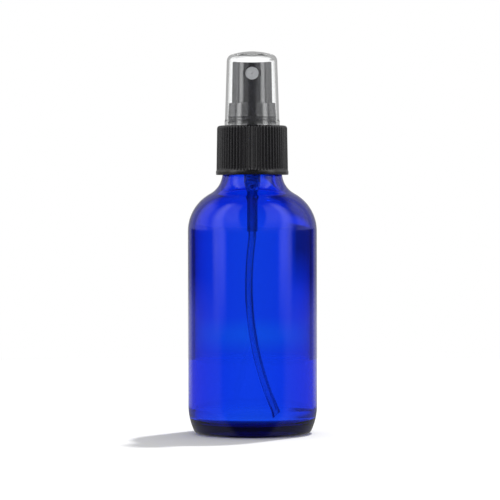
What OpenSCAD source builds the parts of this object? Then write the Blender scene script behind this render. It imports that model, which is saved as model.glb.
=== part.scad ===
// Glass spray bottle with a fine-mist finger pump, a screw collar and a clear overcap.
// Millimetres. The origin is the centre of the foot ring, on the surface the bottle
// stands on. +Z is up and the nozzle sprays towards -Y.

/* [Bottle] */
// Outer diameter of the body
body_d = 48.5; // [46.5:0.5:52]
// Height from the table to the sealing rim
bottle_h = 112.5; // [110:0.5:125]
// Thickness of the side wall
glass_wall = 2.4; // [2:0.1:2.8]
// Height of the glass floor inside
floor_h = 4.4; // [3.6:0.1:5]
// Radius of the round shoulder
shoulder_r = 16; // [15:0.5:17]
// Radius of the hollow curve between shoulder and neck
neck_curve_r = 9; // [8:0.5:10]
// Diameter of the plain neck under the collar
neck_d = 22.4; // [21.8:0.1:22.6]
// Height of the neck above its hollow curve
neck_h = 14.3; // [14:0.1:15]

/* [Neck thread] */
// Diameter over the thread crests
thread_d = 22; // [21.8:0.1:22.2]
// Diameter between the threads
finish_d = 19.7; // [19.5:0.1:19.9]
// Diameter of the bore through the neck
mouth_d = 13.3; // [12.8:0.1:13.8]
// Rise of the thread in one turn
pitch = 3.175; // [3:0.025:3.3]
// Turns of thread on the glass
glass_turns = 1.5; // [1.25:0.05:1.5]
// Turns of thread in the collar
collar_turns = 1.25; // [1:0.05:1.25]

/* [Collar] */
// Diameter over the ribs at the bottom
collar_d = 27.3; // [27:0.1:28]
// Loss of radius from the bottom to the top
collar_draft = 0.45; // [0.3:0.05:0.6]
// Height of the ribbed skirt and its top
collar_h = 18.5; // [18:0.1:19]
// Number of ribs
rib_count = 64; // [48:1:72]
// Depth of the grooves between the ribs
rib_depth = 0.35; // [0.2:0.05:0.4]
// Height of the plain band under the ribs
band_h = 1.7; // [1.2:0.1:2.4]
// Diameter of the turret at its root
turret_d = 18.2; // [18:0.1:18.3]
// Height of the turret above the collar
turret_h = 8.45; // [8:0.1:9]

/* [Overcap] */
// Diameter of the bottom rim
cap_d = 20.7; // [20.5:0.1:21]
// Height over the dome
cap_h = 27.8; // [27.5:0.1:30]
// Thickness of the clear wall
cap_wall = 0.9; // [0.8:0.05:1]

/* [Button] */
// Diameter of the button at its top edge
button_d = 14.6; // [14.2:0.1:14.8]
// Height of the button from skirt to top edge
button_h = 18.7; // [18.2:0.1:19]
// Diameter of the spray insert
nozzle_d = 4.8; // [4.4:0.1:5]
// Drop of the nozzle's centre below the top edge
nozzle_drop = 4.7; // [4.4:0.1:5]
// Travel of a full press
stroke = 4.5; // [3.5:0.1:4.5]

/* [Pump] */
// Bore of the pump chamber
chamber_d = 6; // [5.8:0.05:6.1]
// Outer diameter of the pump body below the chamber
body_tube_d = 6.2; // [6:0.1:6.6]
// Diameter of the stem
stem_d = 3.5; // [3.4:0.05:3.6]
// Diameter of the inlet ball
ball_d = 2.2; // [2.1:0.05:2.3]
// Diameter of the spring wire
wire_d = 0.5; // [0.4:0.05:0.5]
// Turns of the return spring
spring_turns = 8; // [7:1:9]

/* [Dip tube] */
// Outer diameter of the tube
tube_d = 3; // [2.9:0.05:3.1]
// Bore of the tube
tube_bore_d = 1.9; // [1.5:0.1:2.1]
// Radius of the first bend, under the pump's tail
bend_a_r = 34; // [30:1:38]
// Angle that the first bend leans the tube
bend_a = 7.5; // [6:0.5:8]
// Radius of the long middle sweep
bend_b_r = 120; // [110:5:130]
// Radius of the bend towards the foot
bend_c_r = 118; // [112:1:118]
// Angle of the bend towards the foot
bend_c = 24; // [20:0.5:24]

/* [Hidden] */

$fn = 96;
// Steps of an arc in an outline
arc_steps = 14;
// Overlap that makes a cut run clear through a face
over = 1;
// Depth that a ridge is rooted in the body it stands on
root = 0.25;
// Running clearance between turned plastic parts
run_fit = 0.05;
// Gap between faces that meet but may part
rest_gap = 0.05;

// Bottle outline
body_r = body_d / 2;
heel_r = 22;
heel_h = 10.6;
foot_r = 2.2;
heel_a = asin((heel_h - foot_r) / (heel_r - foot_r));
foot_c = body_r - heel_r + (heel_r - foot_r) * cos(heel_a);
foot_land = 1.3;
push_up = 1.3;
neck_z = bottle_h - neck_h;
shoulder_c = body_r - shoulder_r;
neck_c = neck_d / 2 + neck_curve_r;
shoulder_z = neck_z - sqrt(pow(shoulder_r + neck_curve_r, 2) - pow(neck_c - shoulder_c, 2));
shoulder_a = atan2(neck_z - shoulder_z, neck_c - shoulder_c);
bead_top = bottle_h - 11.5;
finish_z = bottle_h - 10.2;
lip_r = 0.8;

// Bottle cavity
inner_r = body_r - glass_wall;
inner_heel_r = 5;
inner_push_up = 0.6;
mouth_r = mouth_d / 2;
inner_shoulder_r = shoulder_r - glass_wall;
inner_curve_r = 9;
inner_c = mouth_r + inner_curve_r;
inner_neck_z = shoulder_z
    + sqrt(pow(inner_shoulder_r + inner_curve_r, 2) - pow(inner_c - shoulder_c, 2));
inner_a = atan2(inner_neck_z - shoulder_z, inner_c - shoulder_c);

// Threads: a ridge on the glass and one in the collar, half a pitch lower
thread_z = bottle_h - 7.6;
ridge_foot_w = 2.2;
ridge_crest_w = 1.0;
nut_foot_w = 1.9;
nut_crest_w = 0.8;
nut_crest_r = finish_d / 2 + 0.45;
turn_steps = 40;
fade_a = 27;

// Seat of the pump on the rim
gasket_t = 0.8;
gasket_r = 9.6;
gasket_hole_r = 4.6;
flange_z = bottle_h + gasket_t;
flange_t = 1.2;
flange_r = 9.3;
guide_z = flange_z + flange_t;
panel_z = guide_z + rest_gap;
panel_t = 1.3;
collar_top = panel_z + panel_t;
collar_z = collar_top - collar_h;

// Collar
collar_r = collar_d / 2;
collar_bore_r = thread_d / 2 + 0.5;
collar_edge_r = 1.1;
rib_z = collar_z + band_h;
// Height of the bottom band above the ribs' crests
band_proud = 0.2;
band_slope = 0.25;
// Small bevels at the moulded edges
edge_bevel = 0.3;
root_bevel = 0.15;
// Widening of a groove's mouth, which leaves narrow round crests
rib_flare = 1.2;
turret_r = turret_d / 2;
turret_bore_r = 7.9;
turret_draft = 0.4;
turret_top = collar_top + turret_h;
clip_z = collar_top + 3;
clip_r = turret_r - 0.1;
clip_h = 0.6;
clip_bump = 0.08;

// Guide through the collar's panel
panel_hole_r = 5.4;
hub_r = panel_hole_r - 0.1;
snap_r = 5.75;
plug_r = 3.4;
plug_z = guide_z - 3.5;
guide_bore_r = stem_d / 2 + 0.1;
guide_tube_r = 2.8;
guide_top = collar_top + 2.4;
// Height of the snap ring over the collar's panel
snap_h = 0.55;

// Pump chamber, measured down from its top: room for the piston and its stroke
piston_h = 4;
piston_gap = 0.7;
chamber_foot = 0.8;
chamber_r = chamber_d / 2;
chamber_out_r = 4.1;
chamber_z = plug_z - piston_gap - piston_h - stroke - chamber_foot;
chamber_lip = 0.3;
chamber_step = 1;
spring_bore_r = 2.2;
spring_z = chamber_z - 7;
cage_bore_r = 1.5;
cage_rib_r = 0.95;
cage_rib_t = 0.7;
cage_rib_w = 0.7;
seat_z = spring_z - 3;
seat_h = 1;
inlet_r = 0.75;
tail_top = seat_z - 1;
tail_r = 1.95;
tail_z = neck_z - 22.1;
cone_z = spring_z - 0.2;
cone_foot_z = tail_top - 1.5;
vent_r = 0.35;
vent_z = plug_z - 1.2;

// Inlet ball on its conical seat
ball_r = ball_d / 2;
seat_a = atan2(cage_bore_r - inlet_r, seat_h);
ball_z = seat_z - inlet_r / tan(seat_a) + ball_r / sin(seat_a) + 0.03;

// Piston, poppet and stem at rest
piston_r = chamber_r - 0.03;
piston_top = plug_z - piston_gap;
piston_wall = 0.5;
lip_h = 0.8;
lip_slope = 0.3;
waist_r = piston_r - 0.2;
web_z = piston_top - 2.9;
web_t = 1.1;
shank_r = 1.2;
shoulder_w = 1.8;
slip = 0.5;
seat_top = web_z - 0.05;
seat_disc_t = 1.5;
spring_top = seat_top - seat_disc_t;
seat_foot_z = spring_top - 3;
stem_z = web_z + web_t + slip + 0.1;
stem_bore_r = 0.8;
shank_top = stem_z + 2.8;
flat_w = 0.35;

// Button
button_r = button_d / 2;
button_top = collar_top + 24.05;
button_z = button_top - button_h;
button_draft = 0.38;
button_wall = 1.1;
button_roof = 2.4;
button_edge_r = 0.8;
dish_r = 45;
dish_depth = 0.6;
post_r = 3.4;
post_z = turret_top - 0.3;
stem_top = post_z + 7;
nozzle_z = button_top - nozzle_drop;
nozzle_r = nozzle_d / 2;
nozzle_face = button_r + 0.02;
nozzle_depth = 2.5;
boss_r = nozzle_r + 0.9;
swirl_r = 1.1;
swirl_h = 1.5;
duct_r = 0.7;
orifice_r = 0.18;
dimple_r = 0.8;
dimple_h = 0.4;
press_gap = 0.1;

// Overcap
cap_r = cap_d / 2;
cap_z = collar_top + rest_gap;
cap_rim_h = 1.8;
cap_rim_step = 0.15;
cap_draft = 0.72;
cap_foot_r = cap_r - cap_rim_step;
cap_top_r = cap_foot_r - cap_draft;
cap_corner_r = 2.6;
// Angle of the corner's arc, where the dome takes over
cap_corner_a = 70;
cap_dome = 1;

// Dip tube: where its bends start, from the top down
tube_r = tube_d / 2;
tube_top = tail_top - 0.5;
tube_sides = 20;
bend_top = tail_z - 0.1;
bend_a_x = bend_a_r * (cos(bend_a) - 1);
bend_a_z = bend_top - bend_a_r * sin(bend_a);
bend_b_x = bend_a_x + bend_b_r * (cos(bend_a) - 1);
bend_b_z = bend_a_z - bend_b_r * sin(bend_a);

// Points of an arc about (x, z), from angle a0 to angle a1
function arc(x, z, r, a0, a1, n = arc_steps) =
    [for (i = [0:n]) let (a = a0 + (a1 - a0) * i / n) [x + r * cos(a), z + r * sin(a)]];

// Points of a shallow dome from radius r on the axis side: height h at the axis
function dome(r, z, h, n = arc_steps) =
    [for (i = [0:n]) let (x = r * (1 - i / n)) [x, z + h * (1 - pow(x / r, 2))]];

// Share of its full height that a ridge has at angle a of a run of end_a degrees
function fade(a, end_a) = max(0.02, min(1, a / fade_a, (end_a - a) / fade_a));

// The four corners of a ridge's section at angle a
function ridge_section(a, z, foot_r, crest_r, foot_w, crest_w, end_a) =
    let (f = fade(a, end_a), c = foot_r + (crest_r - foot_r) * f, up = z + pitch * a / 360)
    [for (p = [[foot_r, -foot_w], [c, -crest_w], [c, crest_w], [foot_r, foot_w]])
        [p[0] * cos(a), p[0] * sin(a), up + p[1] / 2]];

// Triangles that join n rings of m points each, closed at both ends
function skin(n, m) = concat(
    [for (i = [0:n - 2], j = [0:m - 1]) [i * m + j, i * m + (j + 1) % m, (i + 1) * m + j]],
    [for (i = [0:n - 2], j = [0:m - 1])
        [i * m + (j + 1) % m, (i + 1) * m + (j + 1) % m, (i + 1) * m + j]],
    [for (j = [1:m - 2]) [0, j + 1, j]],
    [for (j = [1:m - 2]) [(n - 1) * m, (n - 1) * m + j, (n - 1) * m + j + 1]]
);

// Triangles that join n rings of m points each, the last one back to the first
function loop_skin(n, m) = [for (i = [0:n - 1], j = [0:m - 1], half = [0, 1])
    let (a = i * m, b = (i + 1) % n * m, k = (j + 1) % m)
    half == 0 ? [a + j, b + j, a + k] : [a + k, b + j, b + k]];

function flip(faces) = [for (f = faces) [f[0], f[2], f[1]]];

// A helical thread ridge that starts at height z on the +X side
module ridge(z, foot_r, crest_r, foot_w, crest_w, turns) {
    end_a = turns * 360;
    steps = round(turns * turn_steps);
    points = [for (i = [0:steps])
        each ridge_section(end_a * i / steps, z, foot_r, crest_r, foot_w, crest_w, end_a)];
    faces = skin(steps + 1, 4);
    polyhedron(points, crest_r > foot_r ? faces : flip(faces));
}

// Stations [x, z, lean] down a bend of signed radius r about (x, z)
function bend(x, z, r, a0, a1, n) =
    [for (i = [1:n]) let (a = a0 + (a1 - a0) * i / n) [x + r * cos(a), z + r * sin(a), a]];

// One ring of the tube's skin, square to its centreline at station s
function tube_ring(s, r) =
    [for (j = [0:tube_sides - 1]) let (b = 360 * j / tube_sides, u = r * cos(b))
        [s[0] + u * cos(s[2]), r * sin(b), s[1] + u * sin(s[2])]];

module bottle() {
    color("#1a2fd0", 0.55)
    union() {
        rotate_extrude()
            difference() {
                polygon(concat(
                    [[0, 0]],
                    arc(foot_c, foot_r, foot_r, -90, -heel_a),
                    arc(body_r - heel_r, heel_h, heel_r, -heel_a, 0),
                    arc(shoulder_c, shoulder_z, shoulder_r, 0, shoulder_a),
                    arc(neck_c, neck_z, neck_curve_r, 180 + shoulder_a, 180),
                    [[neck_d / 2, bead_top], [finish_d / 2, finish_z]],
                    arc(finish_d / 2 - lip_r, bottle_h - lip_r, lip_r, 0, 90),
                    [[0, bottle_h]]
                ));
                polygon(concat([[0, -over]], [[foot_c - foot_land, -over]],
                    dome(foot_c - foot_land, 0, push_up)));
                polygon(concat(
                    [[0, floor_h + inner_push_up]],
                    [[inner_r - inner_heel_r, floor_h]],
                    arc(inner_r - inner_heel_r, floor_h + inner_heel_r, inner_heel_r, -90, 0),
                    arc(shoulder_c, shoulder_z, inner_shoulder_r, 0, inner_a),
                    arc(inner_c, inner_neck_z, inner_curve_r, 180 + inner_a, 180),
                    [[mouth_r, bottle_h + over], [0, bottle_h + over]]
                ));
            }
        ridge(thread_z, finish_d / 2 - root, thread_d / 2, ridge_foot_w, ridge_crest_w,
            glass_turns);
    }
}

module dip_tube() {
    stations = concat(
        [[0, tube_top, 0], [0, bend_top, 0]],
        bend(-bend_a_r, bend_top, bend_a_r, 0, -bend_a, 3),
        bend(bend_a_x + bend_b_r * cos(bend_a), bend_a_z - bend_b_r * sin(bend_a),
            -bend_b_r, -bend_a, 0, 5),
        bend(bend_b_x + bend_c_r, bend_b_z, -bend_c_r, 0, bend_c, 12)
    );
    n = len(stations);
    m = tube_sides;
    // The skin runs down the outside and back up the bore, so it closes on itself
    outside = [for (s = stations) each tube_ring(s, tube_r)];
    bore = [for (i = [n - 1:-1:0]) each tube_ring(stations[i], tube_bore_d / 2)];
    color("#dfe8f0", 0.8)
    polyhedron(concat(outside, bore), loop_skin(2 * n, m));
}

module pump_housing() {
    color("#e6eaee", 0.85)
    difference() {
        rotate_extrude()
            polygon([
                [0, tail_z], [tail_r, tail_z], [tail_r, cone_foot_z],
                [body_tube_d / 2, cone_z], [body_tube_d / 2, chamber_z - chamber_step],
                [chamber_out_r, chamber_z + chamber_lip], [chamber_out_r, flange_z],
                [flange_r, flange_z], [flange_r, guide_z], [0, guide_z]
            ]);
        translate([0, 0, tail_z - over])
            cylinder(r = tube_r, h = tail_top - tail_z + over);
        translate([0, 0, tail_top - over])
            cylinder(r = inlet_r, h = seat_z - tail_top + over + root_bevel);
        translate([0, 0, seat_z])
            cylinder(r1 = inlet_r, r2 = cage_bore_r, h = seat_h);
        difference() {
            translate([0, 0, seat_z + seat_h])
                cylinder(r = cage_bore_r, h = spring_z - seat_z);
            cage_ribs();
        }
        translate([0, 0, spring_z])
            cylinder(r = spring_bore_r, h = chamber_z - spring_z + over);
        translate([0, 0, chamber_z])
            cylinder(r = chamber_r, h = plug_z - chamber_z + over);
        translate([0, 0, plug_z])
            cylinder(r = plug_r, h = guide_z - plug_z + over);
        translate([0, 0, vent_z])
            rotate([0, 90, 0])
                cylinder(r = vent_r, h = flange_r, $fn = 24);
    }
}

// Three ribs over the ball that keep it in its cage
module cage_ribs() {
    for (a = [0, 120, 240])
        rotate([0, 0, a])
            translate([cage_rib_r, -cage_rib_w / 2, spring_z - cage_rib_t])
                cube([cage_bore_r, cage_rib_w, cage_rib_t]);
}

module inlet_ball() {
    color("#c9ccd0")
    translate([0, 0, ball_z])
        sphere(r = ball_r);
}

module return_spring() {
    wire_r = wire_d / 2;
    coil_r = spring_bore_r - wire_r - 0.15;
    low = spring_z + wire_r;
    high = spring_top - wire_r;
    sides = 8;
    steps = spring_turns * 16;
    // Height at share t: the end turns lie close and the middle turns are open
    closed = wire_d * 1.1 / (high - low);
    function rise(t) =
        let (u = t * spring_turns, open = (1 - 2 * closed) / (spring_turns - 2))
        u < 1 ? u * closed
            : u > spring_turns - 1 ? 1 - (spring_turns - u) * closed
            : closed + (u - 1) * open;
    points = [for (i = [0:steps], j = [0:sides - 1])
        let (t = i / steps, a = 360 * spring_turns * t, b = 360 * j / sides,
            r = coil_r + wire_r * cos(b))
        [r * cos(a), r * sin(a), low + (high - low) * rise(t) + wire_r * sin(b)]];
    color("#b9bdc2")
    polyhedron(points, flip(skin(steps + 1, sides)));
}

module piston_seat() {
    color("#f0f0ea")
    difference() {
        rotate_extrude()
            polygon([
                [0, seat_foot_z], [0.7, seat_foot_z], [shank_r, seat_foot_z + 0.8],
                [shank_r, spring_top], [shoulder_w, spring_top],
                [shoulder_w, seat_top - 0.4], [shoulder_w - 0.3, seat_top],
                [shank_r, seat_top], [shank_r, shank_top], [0, shank_top]
            ]);
        for (side = [-1, 1])
            translate([side * (shank_r - flat_w / 2 + over), 0, seat_top + 3])
                cube([2 * over, 3, 6 - 0.1], center = true);
    }
}

module piston() {
    color("#f7f7f2")
    rotate_extrude()
        polygon([
            [shank_r + run_fit, web_z], [1.9, web_z], [piston_r - piston_wall, web_z + 0.3],
            [piston_r - piston_wall + 0.15, piston_top - piston_h],
            [piston_r, piston_top - piston_h], [piston_r, piston_top - piston_h + lip_h],
            [waist_r, piston_top - piston_h + lip_h + lip_slope],
            [waist_r, piston_top - lip_h - lip_slope],
            [piston_r, piston_top - lip_h], [piston_r, piston_top],
            [piston_r - piston_wall + 0.15, piston_top],
            [piston_r - piston_wall - 0.1, web_z + web_t], [shank_r + run_fit, web_z + web_t]
        ]);
}

module stem() {
    color("#f2f2ee")
    difference() {
        translate([0, 0, stem_z])
            cylinder(d = stem_d, h = stem_top - stem_z);
        translate([0, 0, stem_z - over])
            cylinder(r = shank_r, h = shank_top - stem_z + over);
        translate([0, 0, shank_top - over])
            cylinder(r = stem_bore_r, h = stem_top - shank_top + 2 * over);
    }
}

module stem_guide() {
    color("#e9e9e4")
    difference() {
        rotate_extrude()
            polygon([
                [0, plug_z], [plug_r, plug_z], [plug_r, guide_z], [hub_r, guide_z],
                [hub_r, collar_top + rest_gap], [snap_r, collar_top + rest_gap],
                [hub_r, collar_top + snap_h], [guide_tube_r, collar_top + snap_h],
                [guide_tube_r, guide_top], [0, guide_top]
            ]);
        translate([0, 0, plug_z - over])
            cylinder(r = guide_bore_r, h = guide_top - plug_z + 2 * over);
    }
}

module neck_gasket() {
    color("#d8d8d2")
    translate([0, 0, bottle_h])
        difference() {
            cylinder(r = gasket_r, h = gasket_t);
            translate([0, 0, -over])
                cylinder(r = gasket_hole_r, h = gasket_t + 2 * over);
        }
}

module screw_collar() {
    // Turns by which the collar's ridge starts after the one on the glass
    lag = glass_turns - collar_turns;
    color("#1b1b1d")
    union() {
        difference() {
            rotate_extrude()
                polygon(concat(
                    [[collar_bore_r, collar_z], [collar_r - edge_bevel, collar_z]],
                    [[collar_r, collar_z + edge_bevel], [collar_r, rib_z - band_slope]],
                    [[collar_r - band_proud, rib_z]],
                    arc(collar_r - collar_draft - collar_edge_r, collar_top - collar_edge_r,
                        collar_edge_r, 0, 90),
                    [[turret_r + root_bevel, collar_top], [turret_r, collar_top + root_bevel]],
                    [[clip_r, clip_z], [clip_r + clip_bump, clip_z + clip_h / 2]],
                    [[clip_r, clip_z + clip_h]],
                    [[turret_r - turret_draft, turret_top - edge_bevel]],
                    [[turret_r - turret_draft - edge_bevel, turret_top]],
                    [[turret_bore_r, turret_top]],
                    [[turret_bore_r, collar_top], [panel_hole_r, collar_top]],
                    [[panel_hole_r, panel_z], [collar_bore_r, panel_z]]
                ));
            rib_grooves();
        }
        rotate([0, 0, 360 * lag])
            ridge(thread_z - pitch / 2 + pitch * lag, collar_bore_r + root, nut_crest_r,
                nut_foot_w, nut_crest_w, collar_turns);
    }
}

// V-shaped grooves that leave the ribs standing between them
module rib_grooves() {
    lean = atan2(collar_draft - band_proud, collar_h - band_h);
    half_w = PI * collar_r / rib_count + rib_flare;
    for (i = [0:rib_count - 1])
        rotate([0, 0, 360 * i / rib_count])
            translate([collar_r - band_proud, 0, rib_z + root_bevel])
                rotate([0, -lean, 0])
                    linear_extrude(collar_h)
                        polygon([[-rib_depth, 0], [over, -half_w], [over, half_w]]);
}

module actuator() {
    color("#101012")
    difference() {
        union() {
            difference() {
                button_blank();
                translate([0, 0, button_z - over])
                    cylinder(r = button_r - button_wall, h = button_h - button_roof + over);
            }
            intersection() {
                button_blank();
                union() {
                    translate([0, 0, post_z])
                        cylinder(r = post_r, h = button_top - post_z);
                    translate([0, 0, nozzle_z])
                        rotate([90, 0, 0])
                            cylinder(r = boss_r, h = button_r + over);
                }
            }
        }
        translate([0, 0, button_top - dish_depth + dish_r])
            rotate([90, 0, 0])
                cylinder(r = dish_r, h = 4 * button_r, center = true, $fn = 180);
        translate([0, 0, post_z - over])
            cylinder(r = stem_d / 2 + run_fit, h = stem_top - post_z + over + 0.1);
        translate([0, 0, stem_top])
            cylinder(r = duct_r, h = nozzle_z - stem_top);
        translate([0, 0, nozzle_z])
            rotate([90, 0, 0])
                cylinder(r = duct_r, h = nozzle_face - nozzle_depth + 0.1);
        nozzle_pocket();
    }
}

// The button before it is hollowed: a drafted cylinder with a round top edge
module button_blank() {
    rotate_extrude()
        polygon(concat(
            [[0, button_z], [button_r + button_draft, button_z]],
            arc(button_r - button_edge_r, button_top - button_edge_r, button_edge_r, 0, 90),
            [[0, button_top]]
        ));
}

// Ring-shaped pocket that the insert is pressed into, around the swirl post
module nozzle_pocket() {
    translate([0, 0, nozzle_z])
        rotate([90, 0, 0])
            translate([0, 0, nozzle_face - nozzle_depth])
                difference() {
                    cylinder(r = nozzle_r, h = nozzle_depth + 2 * over);
                    translate([0, 0, -over])
                        cylinder(r = swirl_r, h = swirl_h + over);
                }
}

module nozzle_insert() {
    color("#b4b6ba")
    translate([0, 0, nozzle_z])
        rotate([90, 0, 0])
            translate([0, 0, nozzle_face - nozzle_depth])
                difference() {
                    translate([0, 0, press_gap])
                        cylinder(r = nozzle_r, h = nozzle_depth - press_gap);
                    translate([0, 0, -over])
                        cylinder(r = swirl_r + press_gap, h = swirl_h + over + press_gap);
                    cylinder(r = orifice_r, h = nozzle_depth + over, $fn = 24);
                    translate([0, 0, nozzle_depth - dimple_h + run_fit])
                        cylinder(r1 = orifice_r, r2 = dimple_r, h = dimple_h);
                }
}

// Outline of the overcap's outside, shrunk by t all round
function cap_outline(t) = concat(
    [[cap_foot_r - t, cap_z + cap_rim_h + 0.2]],
    arc(cap_top_r - cap_corner_r, cap_z + cap_h - cap_dome - cap_corner_r,
        cap_corner_r - t, 0, cap_corner_a),
    dome((cap_top_r - cap_corner_r) + (cap_corner_r - t) * cos(cap_corner_a),
        cap_z + cap_h - cap_dome - cap_corner_r + (cap_corner_r - t) * sin(cap_corner_a),
        cap_dome + (cap_corner_r - t) * (1 - sin(cap_corner_a)))
);

module overcap() {
    color("#e8eef2", 0.3)
    rotate_extrude()
        difference() {
            polygon(concat(
                [[0, cap_z], [cap_r, cap_z], [cap_r, cap_z + cap_rim_h]],
                cap_outline(0)
            ));
            polygon(concat(
                [[0, cap_z - over], [cap_foot_r - cap_wall + 0.1, cap_z - over]],
                cap_outline(cap_wall)
            ));
        }
}

bottle();
dip_tube();
pump_housing();
inlet_ball();
return_spring();
piston_seat();
piston();
stem();
stem_guide();
neck_gasket();
screw_collar();
actuator();
nozzle_insert();
overcap();
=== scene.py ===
"""Fine-mist spray bottle: blown cobalt glass, a black finger pump and a clear overcap.

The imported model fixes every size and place. This script gives each piece its finished
surface and its material, and sets a plain pale studio around the bottle.
"""

import logging
import math
from collections.abc import Callable
from dataclasses import dataclass
from enum import Enum

import bpy
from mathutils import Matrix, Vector


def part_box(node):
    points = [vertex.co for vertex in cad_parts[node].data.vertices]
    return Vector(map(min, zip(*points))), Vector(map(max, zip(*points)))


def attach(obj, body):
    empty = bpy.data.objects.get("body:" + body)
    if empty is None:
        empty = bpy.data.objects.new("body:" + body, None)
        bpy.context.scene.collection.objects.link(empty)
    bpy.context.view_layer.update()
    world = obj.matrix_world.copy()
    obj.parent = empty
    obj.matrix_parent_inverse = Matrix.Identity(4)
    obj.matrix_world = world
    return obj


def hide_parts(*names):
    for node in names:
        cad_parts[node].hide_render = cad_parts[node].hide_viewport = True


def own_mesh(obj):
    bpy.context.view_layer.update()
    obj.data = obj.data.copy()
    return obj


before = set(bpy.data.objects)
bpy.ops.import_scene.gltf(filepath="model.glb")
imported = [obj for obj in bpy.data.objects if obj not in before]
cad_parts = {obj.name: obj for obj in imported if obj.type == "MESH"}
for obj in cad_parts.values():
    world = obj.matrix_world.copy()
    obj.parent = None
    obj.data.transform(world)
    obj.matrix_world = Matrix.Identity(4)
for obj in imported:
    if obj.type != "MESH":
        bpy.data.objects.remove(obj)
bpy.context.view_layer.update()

log = logging.getLogger("spray_bottle")

MM = 0.001
WELD = 1e-6
TURN = math.tau

Point = tuple[float, float]
Colour = tuple[float, float, float, float]


class Axis(Enum):
    """The line that a piece is turned about."""

    UP = (0.0, 0.0, 1.0)
    FORWARD = (0.0, -1.0, 0.0)


class Part(str, Enum):
    """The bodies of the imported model, one for each group of pieces that moves as one."""

    BOTTLE = "bottle"
    PUMP = "pump"
    COLLAR = "collar"
    OVERCAP = "overcap"
    BUTTON = "button"


def radians(*angles: float) -> list[float]:
    """Give angles in radians for angles in degrees."""
    return [math.radians(angle) for angle in angles]


# Modelling tools


def arc(centre: Point, radius: float, start: float, end: float, steps: int) -> list[Point]:
    """Give the points of an arc in an outline.

    Args:
        centre: Radius and height of the arc's centre.
        radius: Radius of the arc.
        start: First angle in degrees, 0 pointing away from the axis and 90 up it.
        end: Last angle in degrees.
        steps: Number of straight steps.

    Returns:
        The points from start to end, both included.
    """
    angles = (math.radians(start + (end - start) * i / steps) for i in range(steps + 1))
    return [(centre[0] + radius * math.cos(a), centre[1] + radius * math.sin(a)) for a in angles]


def dome(radius: float, foot: float, rise: float, steps: int) -> list[Point]:
    """Give the points of a shallow dome, from its rim to the axis.

    Args:
        radius: Radius of the rim.
        foot: Height of the rim.
        rise: Height of the crown above the rim.
        steps: Number of straight steps.

    Returns:
        The points from the rim to the crown, both included.
    """
    shares = (1 - i / steps for i in range(steps + 1))
    return [(radius * s, foot + rise * (1 - s * s)) for s in shares]


def hold(outline: list[Point], near: float = 0.4 * MM, least: float = 2.4 * MM) -> list[Point]:
    """Add a point near each end of the long straights, so that they shade straight.

    Args:
        outline: The points of an outline.
        near: Distance of the added points from the ends.
        least: Length of the shortest straight that gets them.

    Returns:
        The outline with the added points.
    """
    held = [outline[0]]
    for a, b in zip(outline, outline[1:]):
        length = math.dist(a, b)
        if length > least:
            held += [(a[0] + (b[0] - a[0]) * s, a[1] + (b[1] - a[1]) * s)
                     for s in (near / length, 1 - near / length)]
        held.append(b)
    return held


def deselect() -> None:
    """Leave nothing selected, because an operator acts on all that is."""
    bpy.ops.object.select_all(action="DESELECT")


def pick(obj: bpy.types.Object) -> None:
    """Make one object the only selected one, and the active one."""
    deselect()
    obj.select_set(True)
    bpy.context.view_layer.objects.active = obj


def select_points(obj: bpy.types.Object, chosen: Callable[[Vector], bool]) -> None:
    """Go into edit mode with the points that pass a test selected, and no others.

    Args:
        obj: The piece to edit.
        chosen: Test of a point's place.
    """
    pick(obj)
    bpy.ops.object.mode_set(mode="EDIT")
    bpy.ops.mesh.select_mode(type="VERT")
    bpy.ops.mesh.select_all(action="DESELECT")
    bpy.ops.object.mode_set(mode="OBJECT")
    for vertex in obj.data.vertices:
        vertex.select = chosen(vertex.co)
    bpy.ops.object.mode_set(mode="EDIT")


def weld() -> None:
    """In edit mode, join the points that coincide and turn every face outwards."""
    bpy.ops.mesh.select_all(action="SELECT")
    bpy.ops.mesh.remove_doubles(threshold=WELD)
    bpy.ops.mesh.normals_make_consistent(inside=False)


def settle(obj: bpy.types.Object) -> None:
    """Leave edit mode with the object at the origin and its place in its mesh."""
    if bpy.context.mode != "OBJECT":
        bpy.ops.object.mode_set(mode="OBJECT")
    pick(obj)
    bpy.ops.object.transform_apply(location=True, rotation=True, scale=True)


def smooth(obj: bpy.types.Object, sharpest: float = 35.0) -> None:
    """Shade a piece smooth, apart from edges that turn more than an angle.

    Args:
        obj: The piece.
        sharpest: The angle in degrees.
    """
    pick(obj)
    bpy.ops.object.shade_smooth_by_angle(angle=math.radians(sharpest))


def apply(obj: bpy.types.Object, kind: str, **settings: object) -> None:
    """Add a modifier with its settings and apply it at once.

    Args:
        obj: The piece.
        kind: Blender's type of the modifier.
        **settings: Values of the modifier's properties.
    """
    modifier = obj.modifiers.new(kind.lower(), kind)
    for name, value in settings.items():
        setattr(modifier, name, value)
    pick(obj)
    bpy.ops.object.modifier_apply(modifier=modifier.name)


def combine(obj: bpy.types.Object, tool: bpy.types.Object, operation: str) -> None:
    """Join a tool solid to a piece, or cut it away, and discard the tool.

    Args:
        obj: The piece.
        tool: The closed solid that changes it.
        operation: UNION or DIFFERENCE.
    """
    apply(obj, "BOOLEAN", operation=operation, solver="EXACT", object=tool)
    bpy.data.objects.remove(tool, do_unlink=True)


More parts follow.
